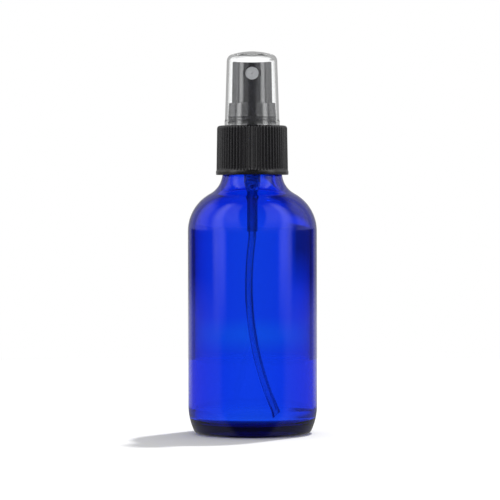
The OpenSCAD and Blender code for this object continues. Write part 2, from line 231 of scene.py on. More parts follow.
def draw(name: str, outline: list[Point], axis: Axis, height: float) -> bpy.types.Object:
    """Draw an outline as a chain of edges, one extruded point at a time.

    Args:
        name: Name of the new piece.
        outline: Radius and distance along the axis of each point.
        axis: The axis that the outline belongs to.
        height: Height of the axis's start above the table.

    Returns:
        The object, in edit mode with the whole chain selected.
    """
    along = Vector(axis.value)
    places = [Vector((r, 0, height)) + along * h for r, h in outline]
    deselect()
    bpy.ops.mesh.primitive_plane_add(size=MM, location=places[0])
    obj = bpy.context.object
    obj.name = obj.data.name = name
    bpy.ops.object.mode_set(mode="EDIT")
    bpy.ops.mesh.select_mode(type="VERT")
    bpy.ops.mesh.select_all(action="SELECT")
    bpy.ops.mesh.merge(type="CENTER")
    for here, there in zip(places, places[1:]):
        bpy.ops.mesh.extrude_vertices_move(TRANSFORM_OT_translate={"value": there - here})
    bpy.ops.mesh.select_all(action="SELECT")
    return obj


def turn(
    name: str,
    outline: list[Point],
    steps: int = 128,
    axis: Axis = Axis.UP,
    height: float = 0.0,
) -> bpy.types.Object:
    """Turn a piece, as on a lathe, from the outline of its section.

    Args:
        name: Name of the new piece.
        outline: The section's points, which end on the axis or where they began.
        steps: Number of steps round.
        axis: The axis of turning.
        height: Height of the axis's start above the table.

    Returns:
        The closed piece, with its faces pointing outwards.
    """
    obj = draw(name, hold(outline), axis, height)
    bpy.ops.mesh.spin(steps=steps, angle=TURN, center=(0, 0, height), axis=axis.value)
    weld()
    settle(obj)
    smooth(obj)
    return obj


def wind(
    name: str, section: list[Point], turns: float, rise: float, steps: int
) -> bpy.types.Object:
    """Wind a closed section round the vertical axis, as a thread or a spring.

    Args:
        name: Name of the new piece.
        section: Radius and height of the section's corners.
        turns: Number of turns.
        rise: Height gained in all the turns.
        steps: Number of steps in one turn.

    Returns:
        The wound piece, closed at both ends.
    """
    obj = draw(name, [*section, section[0]], Axis.UP, 0.0)
    bpy.ops.mesh.remove_doubles(threshold=WELD)
    settle(obj)
    apply(obj, "SCREW", axis="Z", angle=TURN * turns, screw_offset=rise,
          steps=round(steps * turns), render_steps=round(steps * turns),
          use_merge_vertices=False, use_normal_calculate=False)
    pick(obj)
    bpy.ops.object.mode_set(mode="EDIT")
    bpy.ops.mesh.select_all(action="SELECT")
    bpy.ops.mesh.fill_holes(sides=0)
    bpy.ops.mesh.select_all(action="SELECT")
    bpy.ops.mesh.normals_make_consistent(inside=False)
    bpy.ops.object.mode_set(mode="OBJECT")
    return obj


# Finishes


class Sketch:
    """A shader's node tree, built up node by node."""

    def __init__(self, tree: bpy.types.NodeTree) -> None:
        """Start from an empty tree."""
        self.tree = tree
        tree.nodes.clear()

    def add(self, kind: str, inputs: dict | None = None, **settings: object) -> bpy.types.Node:
        """Add a node.

        Args:
            kind: Blender's type of the node.
            inputs: Value or output socket for each named or numbered input.
            **settings: Values of the node's properties.

        Returns:
            The new node.
        """
        node = self.tree.nodes.new(kind)
        for name, value in settings.items():
            setattr(node, name, value)
        self.feed(node, inputs or {})
        return node

    def feed(self, node: bpy.types.Node, inputs: dict) -> None:
        """Link each output socket to a node's input, and set each plain value on its socket.

        Args:
            node: The node.
            inputs: Value or output socket for each named or numbered input.
        """
        for name, value in inputs.items():
            if isinstance(value, bpy.types.NodeSocket):
                self.tree.links.new(value, node.inputs[name])
            else:
                node.inputs[name].default_value = value

    def noise(self, scale: float, detail: float = 3.0, stretch: Vector | None = None
              ) -> bpy.types.NodeSocket:
        """Add a noise pattern fixed to the piece.

        Args:
            scale: Blobs of noise in a metre.
            detail: Octaves of finer noise.
            stretch: Scale of the pattern along each axis.

        Returns:
            The pattern's strength, around 0.5.
        """
        place = self.add("ShaderNodeTexCoord").outputs["Object"]
        mapping = self.add("ShaderNodeMapping",
                           {"Vector": place, "Scale": stretch or Vector((1, 1, 1))})
        noise = self.add("ShaderNodeTexNoise",
                         {"Vector": mapping.outputs["Vector"], "Scale": scale, "Detail": detail})
        return noise.outputs["Fac"]

    def remap(self, value: bpy.types.NodeSocket, low: float, high: float, to_low: float,
              to_high: float) -> bpy.types.NodeSocket:
        """Stretch a range of values onto another.

        Args:
            value: The socket to read.
            low: Start of its range.
            high: End of its range.
            to_low: What the start becomes.
            to_high: What the end becomes.

        Returns:
            The new value, held within its range.
        """
        node = self.add("ShaderNodeMapRange",
                        {"Value": value, "From Min": low, "From Max": high, "To Min": to_low,
                         "To Max": to_high})
        return node.outputs["Result"]

    def calc(self, operation: str, *values: bpy.types.NodeSocket | float
             ) -> bpy.types.NodeSocket:
        """Work out a value with one step of arithmetic.

        Args:
            operation: Blender's name of the step.
            *values: The numbers or sockets that it takes.

        Returns:
            The result.
        """
        node = self.add("ShaderNodeMath", dict(enumerate(values)), operation=operation)
        return node.outputs[0]

    def window(self, value: bpy.types.NodeSocket, low: float, high: float, soft_low: float,
               soft_high: float) -> bpy.types.NodeSocket:
        """Pick out a range of values, with soft ends.

        Args:
            value: The socket to read.
            low: Start of the range.
            high: End of the range.
            soft_low: Width of the fade before the start.
            soft_high: Width of the fade after the end.

        Returns:
            1 in the range and 0 outside it.
        """
        opening = self.remap(value, low - soft_low, low, 0, 1)
        return self.calc("MULTIPLY", opening, self.remap(value, high, high + soft_high, 1, 0))

    def choose(self, bounces: bpy.types.NodeSocket, none: bpy.types.NodeSocket | float,
               some: bpy.types.NodeSocket | float) -> bpy.types.NodeSocket:
        """Choose between two values by whether light has bounced in some way.

        Args:
            bounces: Number of the bounces so far.
            none: Value for no bounce.
            some: Value for one or more.

        Returns:
            The chosen value.
        """
        node = self.add("ShaderNodeMapRange", {"Value": bounces, "To Min": none, "To Max": some})
        return node.outputs["Result"]

    def blend(self, share: bpy.types.NodeSocket, first: Colour, second: Colour
              ) -> bpy.types.NodeSocket:
        """Mix two colours by a pattern.

        Args:
            share: The pattern, 0 for the first colour and 1 for the second.
            first: The first colour.
            second: The second colour.

        Returns:
            The mixed colour.
        """
        mix = self.add("ShaderNodeMix", {"Factor": share}, data_type="RGBA")
        # The colour sockets share their names with the number and vector ones
        for socket in mix.inputs:
            if socket.type == "RGBA":
                socket.default_value = first if socket.name == "A" else second
        return next(s for s in mix.outputs if s.type == "RGBA")

    def bump(self, height: bpy.types.NodeSocket, depth: float, strength: float = 1.0
             ) -> bpy.types.NodeSocket:
        """Raise the surface by a pattern.

        Args:
            height: The pattern.
            depth: Height in metres of the pattern's full range.
            strength: Share of the effect.

        Returns:
            The changed normal.
        """
        node = self.add("ShaderNodeBump",
                        {"Height": height, "Distance": depth, "Strength": strength})
        return node.outputs["Normal"]


@dataclass(frozen=True)
class Finish:
    """A finish of the maker's, as one material."""

    name: str

    def material(self) -> bpy.types.Material:
        """Make the material, or give the one already made."""
        made = bpy.data.materials.get(self.name)
        if made is None:
            made = bpy.data.materials.new(self.name)
            made.use_nodes = True
            sketch = Sketch(made.node_tree)
            shader = sketch.add("ShaderNodeBsdfPrincipled")
            output = sketch.add("ShaderNodeOutputMaterial",
                                {"Surface": shader.outputs["BSDF"]})
            self.paint(sketch, shader, output)
        return made

    def paint(self, sketch: Sketch, shader: bpy.types.Node, output: bpy.types.Node) -> None:
        """Set the shader's colours, gloss and relief.

        Args:
            sketch: The node tree.
            shader: Its main shader.
            output: Its output node.
        """
        raise NotImplementedError


@dataclass(frozen=True)
class CobaltGlass(Finish):
    """Blown soda glass, coloured through with cobalt."""

    density: float = 1250.0
    tint: Colour = (0.0, 0.464, 0.94, 1.0)
    ior: float = 1.51
    smear_scale: float = 55.0
    haze: float = 0.02
    wave_scale: float = 38.0
    wave_stretch: float = 0.45
    wave_depth: float = 0.12 * MM

    def paint(self, sketch: Sketch, shader: bpy.types.Node, output: bpy.types.Node) -> None:
        """Colour the light by the depth of glass it crosses, under a faintly wavy skin."""
        smears = sketch.noise(self.smear_scale, 4.0)
        waves = sketch.noise(self.wave_scale, 1.0, Vector((1, 1, self.wave_stretch)))
        sketch.feed(shader, {
            "Transmission Weight": 1.0, "IOR": self.ior, "Base Color": (1.0, 1.0, 1.0, 1.0),
            "Roughness": sketch.remap(smears, 0.5, 0.8, 0.0, self.haze),
            "Normal": sketch.bump(waves, self.wave_depth)})
        depth = sketch.add("ShaderNodeVolumeAbsorption",
                           {"Color": self.tint, "Density": self.density})
        sketch.feed(output, {"Volume": depth.outputs["Volume"]})


@dataclass(frozen=True)
class ClearPlastic(Finish):
    """Clear moulded plastic, very slightly hazy."""

    ior: float = 1.5
    tint: Colour = (0.985, 0.99, 0.99, 1.0)
    mark_scale: float = 140.0
    clean: float = 0.01
    marked: float = 0.07
    wave_scale: float = 60.0
    wave_depth: float = 0.02 * MM

    def paint(self, sketch: Sketch, shader: bpy.types.Node, output: bpy.types.Node) -> None:
        """Make the plastic clear, with faint handling marks in its gloss."""
        marks = sketch.noise(self.mark_scale, 5.0)
        waves = sketch.noise(self.wave_scale, 1.0)
        sketch.feed(shader, {
            "Transmission Weight": 1.0, "IOR": self.ior, "Base Color": self.tint,
            "Roughness": sketch.remap(marks, 0.45, 0.8, self.clean, self.marked),
            "Normal": sketch.bump(waves, self.wave_depth)})


@dataclass(frozen=True)
class BlackPlastic(Finish):
    """Black moulded plastic, from glossy to satin."""

    light: Colour = (0.013, 0.013, 0.018, 1.0)
    shade: Colour = (0.007, 0.007, 0.01, 1.0)
    dull: float = 0.1
    sparkle: float = 0.03
    grain: float = 0.01
    ior: float = 1.5
    shine: float = 0.5
    cloud_scale: float = 90.0
    gloss_scale: float = 400.0
    grain_scale: float = 5000.0

    def paint(self, sketch: Sketch, shader: bpy.types.Node, output: bpy.types.Node) -> None:
        """Vary the black and its gloss slightly, over a fine moulded grain."""
        gloss = sketch.noise(self.gloss_scale, 4.0)
        sketch.feed(shader, {
            "IOR": self.ior, "Specular IOR Level": self.shine,
            "Base Color": sketch.blend(sketch.noise(self.cloud_scale, 4.0), self.shade,
                                       self.light),
            "Roughness": sketch.remap(gloss, 0.35, 0.7, self.dull, self.dull + self.sparkle),
            "Normal": sketch.bump(sketch.noise(self.grain_scale, 2.0), self.grain * MM)})


@dataclass(frozen=True)
class NaturalPlastic(Finish):
    """Uncoloured plastic that lets some light through."""

    light: Colour = (0.93, 0.94, 0.95, 1.0)
    shade: Colour = (0.85, 0.86, 0.87, 1.0)
    clear: float = 0.92
    dull: float = 0.3
    ior: float = 1.5
    sparkle: float = 0.08
    cloud_scale: float = 220.0
    grain_scale: float = 2500.0
    grain: float = 0.01 * MM

    def paint(self, sketch: Sketch, shader: bpy.types.Node, output: bpy.types.Node) -> None:
        """Cloud the plastic a little, and let part of the light pass."""
        cloud = sketch.noise(self.cloud_scale, 3.0)
        sketch.feed(shader, {
            "Transmission Weight": self.clear, "IOR": self.ior,
            "Base Color": sketch.blend(cloud, self.light, self.shade),
            "Roughness": sketch.remap(cloud, 0.3, 0.7, self.dull, self.dull + self.sparkle),
            "Normal": sketch.bump(sketch.noise(self.grain_scale, 2.0), self.grain)})


@dataclass(frozen=True)
class SolidPlastic(Finish):
    """Pale coloured plastic that no light passes."""

    light: Colour = (0.8, 0.81, 0.84, 1.0)
    shade: Colour = (0.68, 0.69, 0.72, 1.0)
    dull: float = 0.35
    sparkle: float = 0.1
    cloud_scale: float = 300.0
    gloss_scale: float = 900.0
    grain_scale: float = 4000.0
    grain: float = 0.01 * MM

    def paint(self, sketch: Sketch, shader: bpy.types.Node, output: bpy.types.Node) -> None:
        """Mottle the colour faintly, over a fine grain."""
        gloss = sketch.noise(self.gloss_scale, 2.0)
        sketch.feed(shader, {
            "Base Color": sketch.blend(sketch.noise(self.cloud_scale, 3.0), self.light,
                                       self.shade),
            "Roughness": sketch.remap(gloss, 0.3, 0.7, self.dull, self.dull + self.sparkle),
            "Normal": sketch.bump(sketch.noise(self.grain_scale, 2.0), self.grain)})


@dataclass(frozen=True)
class SpringSteel(Finish):
    """Bright stainless steel, drawn as wire or ground as a ball."""

    light: Colour = (0.62, 0.63, 0.65, 1.0)
    shade: Colour = (0.5, 0.51, 0.53, 1.0)
    bright: float = 0.16
    dull: float = 0.3
    streak_scale: float = 700.0
    streak_stretch: float = 4.0

    def paint(self, sketch: Sketch, shader: bpy.types.Node, output: bpy.types.Node) -> None:
        """Streak the steel's gloss lightly."""
        streaks = sketch.noise(self.streak_scale, 4.0, Vector((1, 1, self.streak_stretch)))
        sketch.feed(shader, {
            "Metallic": 1.0, "Base Color": sketch.blend(streaks, self.light, self.shade),
            "Roughness": sketch.remap(streaks, 0.3, 0.7, self.bright, self.dull)})


COBALT = CobaltGlass("blown_cobalt_glass")
CLEAR = ClearPlastic("clear_cap_plastic", ior=1.38)
GLOSS_BLACK = BlackPlastic(
    "gloss_black_plastic", (0.027, 0.027, 0.045, 1), (0.02, 0.02, 0.036, 1), dull=0.15,
    sparkle=0.02, grain=0.002, ior=2.6, shine=0.9)
SATIN_BLACK = BlackPlastic(
    "satin_black_plastic", (0.009, 0.008, 0.011, 1), (0.005, 0.005, 0.007, 1), dull=0.22,
    sparkle=0.06, grain=0.012, ior=1.75)
NATURAL = NaturalPlastic("natural_body_plastic", dull=0.12)
TUBE = NaturalPlastic("drawn_tube_plastic", clear=1.0, dull=0.03, ior=1.38)
SOFT = NaturalPlastic("soft_valve_plastic", clear=0.15, dull=0.45)
GREY = SolidPlastic("grey_insert_plastic")
SEAL = SolidPlastic("seal_foam", (0.8, 0.8, 0.77, 1), (0.7, 0.7, 0.67, 1), 0.6)
STEEL = SpringSteel("spring_steel")


def dress(piece: bpy.types.Object, finish: Finish) -> None:
    """Give a whole piece one finish in place of any it has."""
    piece.data.materials.clear()
    piece.data.materials.append(finish.material())


def stand_for(piece: bpy.types.Object, finish: Finish, node: str, body: Part
              ) -> None:
    """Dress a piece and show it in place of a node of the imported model.

    Args:
        piece: The piece.
        finish: Its finish.
        node: The node that it replaces.
        body: The body that it moves with.
    """
    dress(piece, finish)
    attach(piece, body.value)
    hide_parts(node)
    log.info("%s: %d faces, moves with %s", piece.name, len(piece.data.polygons), body.value)


# Sub-assemblies


@dataclass
class GlassBottle:
    """The blown bottle: one closed skin of glass with a threaded neck."""

    body_r: float
    height: float
    wall: float = 2.4 * MM
    floor: float = 4.4 * MM
    floor_rise: float = 0.6 * MM
    shoulder_r: float = 16 * MM
    neck_curve_r: float = 9 * MM
    neck_r: float = 11.2 * MM
    neck_h: float = 14.3 * MM
    heel_r: float = 22 * MM
    heel_h: float = 10.6 * MM
    foot_r: float = 2.2 * MM
    foot_land: float = 1.3 * MM
    push_up: float = 1.3 * MM
    inner_heel_r: float = 2.6 * MM
    mouth_r: float = 6.65 * MM
    ease_r: float = 4 * MM
    finish_r: float = 9.85 * MM
    finish_drop: float = 10 * MM
    bead_drop: float = 11.4 * MM
    lip_r: float = 0.8 * MM
    thread_r: float = 11 * MM
    thread_drop: float = 7.6 * MM
    pitch: float = 3.175 * MM
    turns: float = 1.5

    @property
    def shoulder_c(self) -> float:
        """Radius at which the shoulder's arc is centred."""
        return self.body_r - self.shoulder_r

    @property
    def shoulder_z(self) -> float:
        """Height at which the straight side ends."""
        reach = self.shoulder_r + self.neck_curve_r
        across = self.neck_r + self.neck_curve_r - self.shoulder_c
        return self.height - self.neck_h - math.sqrt(reach**2 - across**2)

    @property
    def neck_curve(self) -> tuple[Point, float]:
        """Centre of the neck's curve, and the angle at which the shoulder's arc ends."""
        across, up = self.neck_r + self.neck_curve_r, self.height - self.neck_h
        angle = math.atan2(up - self.shoulder_z, across - self.shoulder_c)
        return (across, up), math.degrees(angle)

    def outside(self) -> list[Point]:
        """Outline of the outer skin, from the foot ring up to the lip."""
        (neck_c, neck_z), turn_a = self.neck_curve
        heel_a = math.degrees(math.asin((self.heel_h - self.foot_r)
                                        / (self.heel_r - self.foot_r)))
        foot_c = (self.body_r - self.heel_r
                  + (self.heel_r - self.foot_r) * math.cos(math.radians(heel_a)))
        hollow = dome(foot_c - self.foot_land, 0.0, self.push_up, 16)
        bead, thread_z = self.height - self.bead_drop, self.height - self.finish_drop
        ease = 0.3 * MM
        return [
            *reversed(hollow),
            *arc((foot_c, self.foot_r), self.foot_r, -90, -heel_a, 8),
            *arc((self.body_r - self.heel_r, self.heel_h), self.heel_r, -heel_a, 0, 14)[1:],
            *arc((self.shoulder_c, self.shoulder_z), self.shoulder_r, 0, turn_a, 28),
            *arc((neck_c, neck_z), self.neck_curve_r, 180 + turn_a, 180, 18)[1:],
            (self.neck_r, bead - ease), (self.neck_r - ease / 2, bead),
            (self.finish_r + 0.1 * MM, thread_z - ease), (self.finish_r, thread_z),
            *arc((self.finish_r - self.lip_r, self.height - self.lip_r), self.lip_r, 0, 90, 8),
        ]

    def inside(self) -> list[Point]:
        """Outline of the cavity, from the lip down to the middle of the floor."""
        (neck_c, neck_z), turn_a = self.neck_curve
        waist = neck_c - self.neck_curve_r - self.wall
        ease = self.ease_r
        bend_a = math.degrees(math.acos(1 - (waist - self.mouth_r) / 2 / ease))
        rise = 2 * ease * math.sin(math.radians(bend_a))
        round_lip = 0.5 * MM
        floor_r = self.body_r - self.wall - self.inner_heel_r
        return [
            *arc((self.mouth_r + round_lip, self.height - round_lip), round_lip, 90, 180, 5),
            *arc((self.mouth_r + ease, neck_z + rise), ease, 180, 180 + bend_a, 8),
            *arc((waist - ease, neck_z), ease, bend_a, 0, 8)[1:],
            *arc((neck_c, neck_z), self.neck_curve_r + self.wall, 180, 180 + turn_a, 18)[1:],
            *arc((self.shoulder_c, self.shoulder_z), self.shoulder_r - self.wall, turn_a, 0,
                 28)[1:],
            *arc((floor_r, self.floor + self.inner_heel_r), self.inner_heel_r, 0, -90, 14),
            *dome(floor_r, self.floor, self.floor_rise, 12)[1:],
        ]

    def build(self) -> bpy.types.Object:
        """Turn the bottle and join the thread to its neck.

        Returns:
            The glass.
        """
        glass = turn("glass_bottle", self.outside() + self.inside(), 160)
        foot, crest, rooted = 1.1 * MM, 0.5 * MM, 0.25 * MM
        z = self.height - self.thread_drop
        ridge = wind("ridge", [
            (self.finish_r - rooted, z - foot), (self.thread_r - 0.2 * MM, z - crest - 0.1 * MM),
            (self.thread_r, z - crest + 0.15 * MM), (self.thread_r, z + crest - 0.15 * MM),
            (self.thread_r - 0.2 * MM, z + crest + 0.1 * MM), (self.finish_r - rooted, z + foot),
        ], self.turns, self.pitch * self.turns, 48)
        combine(glass, ridge, "UNION")
        smooth(glass)
        return glass

    def finish(self) -> None:
        """Build the bottle, dress it and set it in the model."""
        stand_for(self.build(), COBALT, "bottle", Part.BOTTLE)


@dataclass
class DipTube:
    """The bent tube that draws from the foot of the bottle."""

    top: float
    bends_from: float
    radius: float = 1.5 * MM
    bore: float = 0.95 * MM
    bends: tuple[tuple[float, float], ...] = ((34.0, -7.5), (120.0, 7.5), (118.0, 24.0))

    def build(self) -> bpy.types.Object:
        """Draw the tube's ring down its straight run and round each bend.

        Returns:
            The tube, with its wall thickness.
        """
        deselect()
        bpy.ops.mesh.primitive_circle_add(vertices=32, radius=self.radius,
                                          location=(0, 0, self.top))
        tube = bpy.context.object
        tube.name = tube.data.name = "dip_tube_bent"
        bpy.ops.object.mode_set(mode="EDIT")
        bpy.ops.mesh.select_all(action="SELECT")
        down = Vector((0, 0, self.bends_from - self.top))
        bpy.ops.mesh.extrude_region_move(TRANSFORM_OT_translate={"value": down})
        here, heading = Vector((0, 0, self.bends_from)), 0.0
        for radius_mm, angle in self.bends:
            side = math.copysign(1.0, angle)
            lean = math.radians(heading)
            centre = here + radius_mm * MM * side * Vector((math.cos(lean), 0, math.sin(lean)))
            sweep = math.radians(angle)
            bpy.ops.mesh.spin(steps=max(16, round(abs(angle) * 2.0)), angle=abs(sweep),
                              center=centre, axis=(0, side, 0))
            arm = here - centre
            here = centre + Vector((arm.x * math.cos(sweep) - arm.z * math.sin(sweep), 0,
                                    arm.x * math.sin(sweep) + arm.z * math.cos(sweep)))
            heading += angle
        weld()
        settle(tube)
        apply(tube, "SOLIDIFY", thickness=self.radius - self.bore, offset=-1.0)
        smooth(tube)
        return tube

    def finish(self) -> None:
        """Build the tube, dress it and set it in the model."""
        stand_for(self.build(), TUBE, "dip_tube", Part.PUMP)


@dataclass
class PumpInside:
    """The spring of the pump, and the finishes of its moulded pieces."""

    spring_low: float
    spring_high: float
    coil_r: float = 1.8 * MM
    wire_r: float = 0.25 * MM
    turns: int = 8
    travel: float = 4.5 * MM

    def spring(self) -> bpy.types.Object:
        """Wind the return spring from its round wire.

        Returns:
            The spring.
        """
        low = self.spring_low + self.wire_r
        rise = self.spring_high - self.wire_r - low
        section = arc((self.coil_r, low), self.wire_r, 0, 330, 11)
        return wind("wound_return_spring", section, self.turns, rise, 32)

    def finish(self) -> None:
        """Build the spring, and dress every piece of the pump."""
        spring = self.spring()
        smooth(spring, 60)
        stand_for(spring, STEEL, "return_spring", Part.PUMP)
        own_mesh(spring)
        kept = {"pump_housing": NATURAL, "stem_guide": SOFT, "neck_gasket": SEAL, "stem": NATURAL,
                "piston_seat": SOFT, "piston": SOFT, "inlet_ball": STEEL}
        for node, finish in kept.items():
            dress(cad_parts[node], finish)
            log.info("%s: %s", node, finish.name)


@dataclass
class ScrewCollar:
    """The ribbed screw collar, with the turret that guards the button."""

    low: float
    top: float
    foot_r: float
    draft: float = 0.45 * MM
    edge_r: float = 1.1 * MM
    band_h: float = 1.7 * MM
    band_proud: float = 0.2 * MM
    rib_count: int = 64
    groove: tuple[float, ...] = (0.35 * MM, 0.27 * MM, 0.1 * MM, 0.01 * MM)
    skirt_h: float = 18.5 * MM
    panel_t: float = 1.3 * MM
    bore_r: float = 11.5 * MM
    hole_r: float = 5.4 * MM
    turret_r: float = 9.1 * MM
    turret_draft: float = 0.4 * MM
    turret_bore_r: float = 7.9 * MM
    clip_rise: float = 3 * MM
    clip_h: float = 0.6 * MM
    clip_bump: float = 0.08 * MM

    def outline(self) -> list[Point]:
        """Outline of the collar's section, once round."""
        panel = self.low + self.skirt_h
        clip = panel + self.clip_rise
        rib_z = self.low + self.band_h
        rib_r = self.foot_r - self.band_proud
        chamfer, edge = 0.3 * MM, self.edge_r
        top_r = self.turret_r - self.turret_draft
        shoulder = arc((self.foot_r - self.draft - edge, panel - edge), edge, 0, 90, 8)
        grades = [rib_z + 0.1 * MM, rib_z + 0.45 * MM]
        line = [
            (self.bore_r, self.low), (self.foot_r - chamfer, self.low),
            (self.foot_r - 0.1 * MM, self.low + 0.12 * MM), (self.foot_r, self.low + chamfer),
            (self.foot_r, rib_z - 0.4 * MM), (self.foot_r - 0.05 * MM, rib_z - 0.25 * MM),
            (rib_r, rib_z), *((rib_r, z) for z in grades), *shoulder,
            (self.turret_r + 0.3 * MM, panel), (self.turret_r + 0.08 * MM, panel + 0.08 * MM),
            (self.turret_r, panel + 0.3 * MM),
            (self.turret_r - 0.1 * MM, clip),
            (self.turret_r - 0.1 * MM + self.clip_bump, clip + self.clip_h / 2),
            (self.turret_r - 0.1 * MM, clip + self.clip_h),
            *arc((top_r - chamfer, self.top - chamfer), chamfer, 0, 90, 4),
            (self.turret_bore_r + 0.1 * MM, self.top), (self.turret_bore_r, self.top - 0.1 * MM),
            (self.turret_bore_r, panel), (self.hole_r, panel),
            (self.hole_r, panel - self.panel_t), (self.bore_r, panel - self.panel_t),
        ]
        return [*line, line[0]]

    def sector(self) -> bpy.types.Object:
        """Turn one rib's share of the collar and sink its groove.

        Returns:
            The sector, open at both sides.
        """
        columns = 2 * len(self.groove)
        step = TURN / self.rib_count / columns
        collar = draw("ribbed_screw_collar", hold(self.outline()), Axis.UP, 0.0)
        bpy.ops.mesh.spin(steps=columns, angle=step * columns, center=(0, 0, 0), axis=(0, 0, 1))
        settle(collar)
        rib_z = self.low + self.band_h
        panel = self.low + self.skirt_h
        lean = (self.draft - self.band_proud) / (self.skirt_h - self.band_h)
        rows = sorted({round(v.co.z / WELD) for v in collar.data.vertices
                       if rib_z + WELD < v.co.z < panel - WELD
                       and v.co.xy.length > self.bore_r + MM})
        for row in rows:
            height = row * WELD
            for k, depth in enumerate(self.groove):
                floor = self.foot_r - self.band_proud - lean * (height - rib_z) - depth
                share = min(1.0, (height - rib_z) / (0.4 * MM))
                self.sink(collar, height, (k * step, (columns - k) * step), floor, share)
        return collar

    def sink(self, collar: bpy.types.Object, height: float, angles: tuple[float, float],
             floor: float, share: float) -> None:
        """Draw the points of a groove in towards the axis, at one height.

        Args:
            collar: The sector.
            height: The points' height.
            angles: Their angles about the axis.
            floor: Radius of the groove there.
            share: Share of its depth that the groove has there.
        """
        def here(co: Vector) -> bool:
            """Tell whether a point is on the groove at this height."""
            angle = abs(math.atan2(co.y, co.x))
            return (abs(co.z - height) < WELD and co.xy.length > self.bore_r + MM
                    and min(abs(angle - a) for a in angles) < 0.001)

        found = [v.co.xy.length for v in collar.data.vertices if here(v.co)]
        if found and found[0] > floor:
            shrink = 1 + (floor / found[0] - 1) * share
            select_points(collar, here)
            bpy.ops.transform.resize(value=(shrink, shrink, 1), center_override=(0, 0, 0))
            bpy.ops.object.mode_set(mode="OBJECT")

    def finish(self) -> None:
        """Build the collar, dress it and set it in the model."""
        collar = self.sector()
        pick(collar)
        bpy.ops.object.mode_set(mode="EDIT")
        bpy.ops.mesh.select_all(action="SELECT")
        rest = self.rib_count - 1
        bpy.ops.mesh.spin(steps=rest, angle=TURN * rest / self.rib_count, dupli=True,
                          center=(0, 0, 0), axis=(0, 0, 1))
        weld()
        settle(collar)
        smooth(collar, 40)
        stand_for(collar, SATIN_BLACK, "screw_collar", Part.COLLAR)
        collar.data.materials.append(GLOSS_BLACK.material())
        for face in collar.data.polygons:
            if face.center.z > self.low + self.skirt_h + 0.05 * MM:
                face.material_index = 1


@dataclass
class SprayButton:
    """The finger button and the spray insert in its side."""

    low: float
    top: float
    nozzle_z: float
    skirt_r: float
    draft: float = 0.38 * MM
    edge_r: float = 0.4 * MM
    wall: float = 1.1 * MM
    roof: float = 2.4 * MM
    post_r: float = 3.4 * MM
    post_rise: float = 2.8 * MM
    socket_r: float = 1.8 * MM
    socket_h: float = 7.1 * MM
    dish_r: float = 45 * MM
    dish_depth: float = 0.6 * MM
    nozzle_r: float = 2.4 * MM
    nozzle_depth: float = 2.5 * MM
    boss_wall: float = 0.9 * MM
    boss_from: float = 3 * MM
    boss_back: float = 0.5 * MM
    swirl_r: float = 1.1 * MM
    swirl_h: float = 1.5 * MM
    duct_r: float = 0.7 * MM
    orifice_r: float = 0.18 * MM
    dimple_r: float = 0.8 * MM

    @property
    def top_r(self) -> float:
        """Radius of the button at its top edge."""
        return self.skirt_r - self.draft

    @property
    def face(self) -> float:
        """Distance of the insert's face from the axis."""
        return self.top_r + 0.02 * MM

    def outline(self) -> list[Point]:
        """Outline of the button's section, from the crown round to the duct's end."""
        bore = self.top_r - self.wall
        post = self.low + self.post_rise
        socket = post + self.socket_h
        lip = 0.15 * MM
        return [
            (0, self.top), (self.top_r - self.edge_r, self.top),
            *arc((self.top_r - self.edge_r, self.top - self.edge_r), self.edge_r, 75, 0, 5),
            (self.skirt_r, self.low + lip), (self.skirt_r - lip, self.low),
            (bore + lip, self.low), (bore, self.low + lip), (bore, self.top - self.roof),
            (self.post_r, self.top - self.roof), (self.post_r, post + lip),
            (self.post_r - lip, post), (self.socket_r, post), (self.socket_r, socket),
            (self.duct_r, socket), (self.duct_r, self.nozzle_z), (0, self.nozzle_z),
        ]

    def button(self) -> bpy.types.Object:
        """Turn the button, then cut its dished top and the seat of its insert.

        Returns:
            The button.
        """
        button = turn("dished_spray_button", self.outline(), 144)
        boss_r = self.nozzle_r + self.boss_wall
        boss_end = self.top_r - self.boss_back
        deep = self.face - self.nozzle_depth
        boss = turn("boss", [(0, self.boss_from), (boss_r, self.boss_from), (boss_r, boss_end),
                             (0, boss_end)], 64, Axis.FORWARD, self.nozzle_z)
        combine(button, boss, "UNION")
        bpy.ops.mesh.primitive_cylinder_add(
            vertices=512, radius=self.dish_r, depth=4 * self.top_r,
            location=(0, 0, self.top - self.dish_depth + self.dish_r),
            rotation=(math.pi / 2, 0, 0))
        combine(button, bpy.context.object, "DIFFERENCE")
        out = self.skirt_r + MM
        pocket = turn("pocket", [
            (0, 0), (self.duct_r, 0), (self.duct_r, deep), (self.swirl_r, deep),
            (self.nozzle_r, deep), (self.nozzle_r, out), (0, out)], 64, Axis.FORWARD,
            self.nozzle_z)
        combine(button, pocket, "DIFFERENCE")
        apply(button, "BEVEL", width=0.12 * MM, segments=2, limit_method="ANGLE",
              angle_limit=math.radians(40), use_clamp_overlap=True, harden_normals=False)
        smooth(button, 30)
        return button

    def insert(self) -> bpy.types.Object:
        """Turn the spray insert, with its dimple and its fine orifice.

        Returns:
            The insert.
        """
        back = self.face - self.nozzle_depth + 0.1 * MM
        rim, cup = 0.15 * MM, self.swirl_r + 0.1 * MM
        return turn("turned_nozzle_insert", [
            (self.orifice_r, back + self.swirl_h), (self.orifice_r, self.face - 0.35 * MM),
            (self.dimple_r, self.face - 0.04 * MM), (self.dimple_r + 0.1 * MM, self.face),
            (self.nozzle_r - rim, self.face), (self.nozzle_r - 0.04 * MM, self.face - 0.05 * MM),
            (self.nozzle_r, self.face - rim), (self.nozzle_r, back), (cup, back),
            (cup, back + self.swirl_h), (self.orifice_r, back + self.swirl_h),
        ], 96, Axis.FORWARD, self.nozzle_z)

    def finish(self) -> None:
        """Build both pieces, dress them and set them in the model."""
        stand_for(self.button(), GLOSS_BLACK, "actuator", Part.BUTTON)
        stand_for(self.insert(), GREY, "nozzle_insert", Part.BUTTON)


